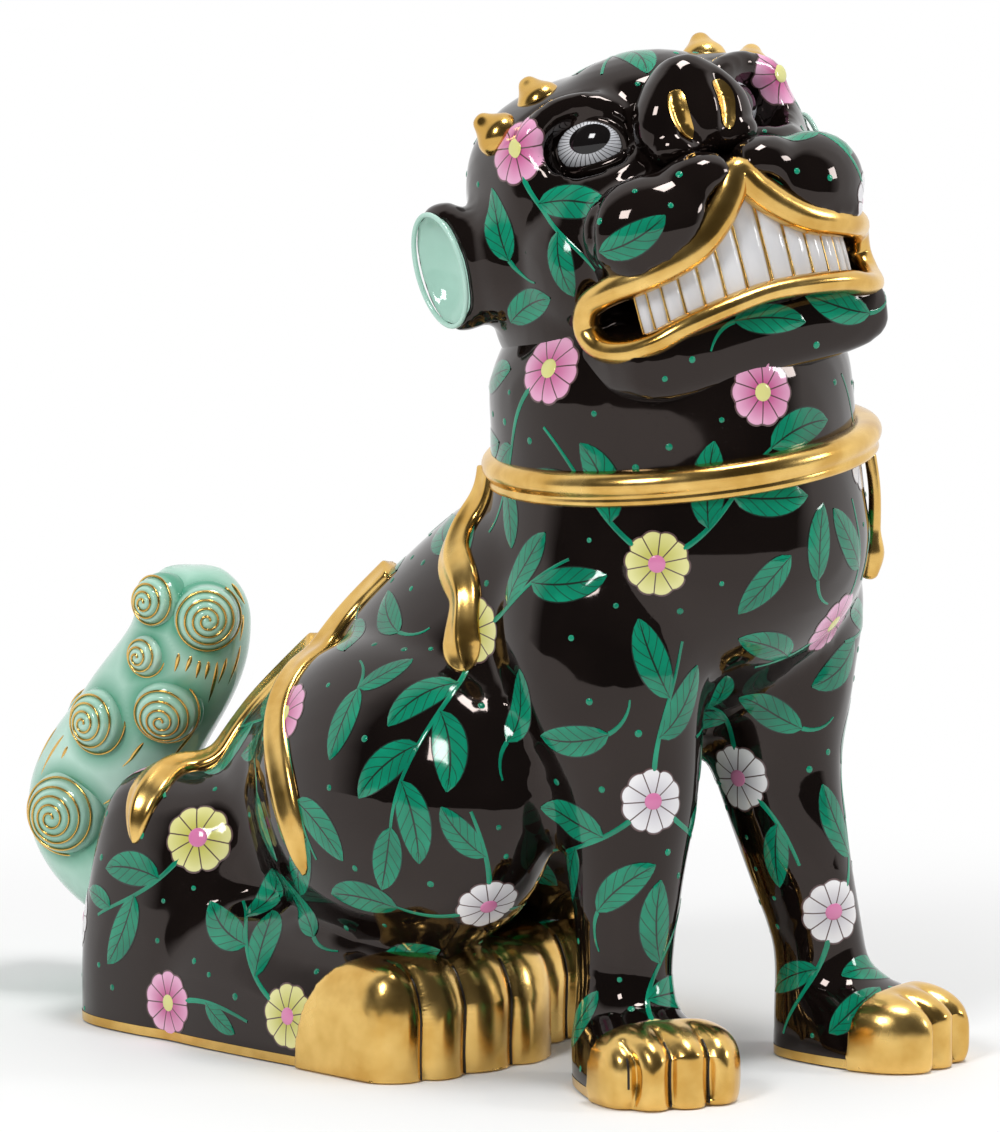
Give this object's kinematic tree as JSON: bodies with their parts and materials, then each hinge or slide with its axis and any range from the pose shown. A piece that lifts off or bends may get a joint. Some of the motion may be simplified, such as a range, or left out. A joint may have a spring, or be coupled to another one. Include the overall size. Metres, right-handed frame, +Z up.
{
  "type": "guardian lion figurine",
  "caption": "Seated guardian lion in glazed porcelain with a gilt collar, streamers, lips and toes, bared teeth and a curled tail plume; an ornament that stands on its feet and haunches.",
  "frame": {"origin": "middle of the figure's box, on the table top", "axes": "+Z up, the lion faces -Y, its left side is +X"},
  "size_m": [0.218, 0.4128, 0.3986],
  "materials": {
    "black_glaze": "near-black brown glossy glaze, painted with enamel leaves and flowers",
    "gilding": "burnished gold fired over the glaze",
    "mint_glaze": "pale green glossy glaze with gold lines",
    "tooth_enamel": "white glossy glaze with gold lines",
    "eye_enamel": "white glaze with a black pupil and fine dark lines"
  },
  "bodies": {
    "root": {"trunk": "black_glaze", "right_haunch": "black_glaze", "left_haunch": "black_glaze", "right_hind_toes": "gilding", "left_hind_toes": "gilding", "left_foreleg": "black_glaze", "right_foreleg": "black_glaze", "left_fore_toes": "gilding", "right_fore_toes": "gilding", "collar": "gilding", "collar_drop": "gilding", "right_shoulder_streamer": "gilding", "left_shoulder_streamer": "gilding", "right_flank_streamer": "gilding", "left_flank_streamer": "gilding", "right_haunch_streamer": "gilding", "left_haunch_streamer": "gilding", "tail_plume": "mint_glaze", "tail_curl_1": "mint_glaze", "tail_curl_2": "mint_glaze", "tail_curl_3": "mint_glaze", "tail_curl_4": "mint_glaze", "tail_curl_5": "mint_glaze", "tail_curl_6": "mint_glaze", "tail_curl_7": "mint_glaze", "tail_curl_8": "mint_glaze", "skull": "black_glaze", "lip_moulding": "gilding", "lower_jaw": "black_glaze", "teeth": "tooth_enamel", "nose": "black_glaze", "left_eye": "eye_enamel", "right_eye": "eye_enamel", "left_ear": "black_glaze", "right_ear": "black_glaze", "left_inner_horn": "gilding", "right_inner_horn": "gilding", "left_outer_horn": "gilding", "right_outer_horn": "gilding"}
  },
  "joints": []
}
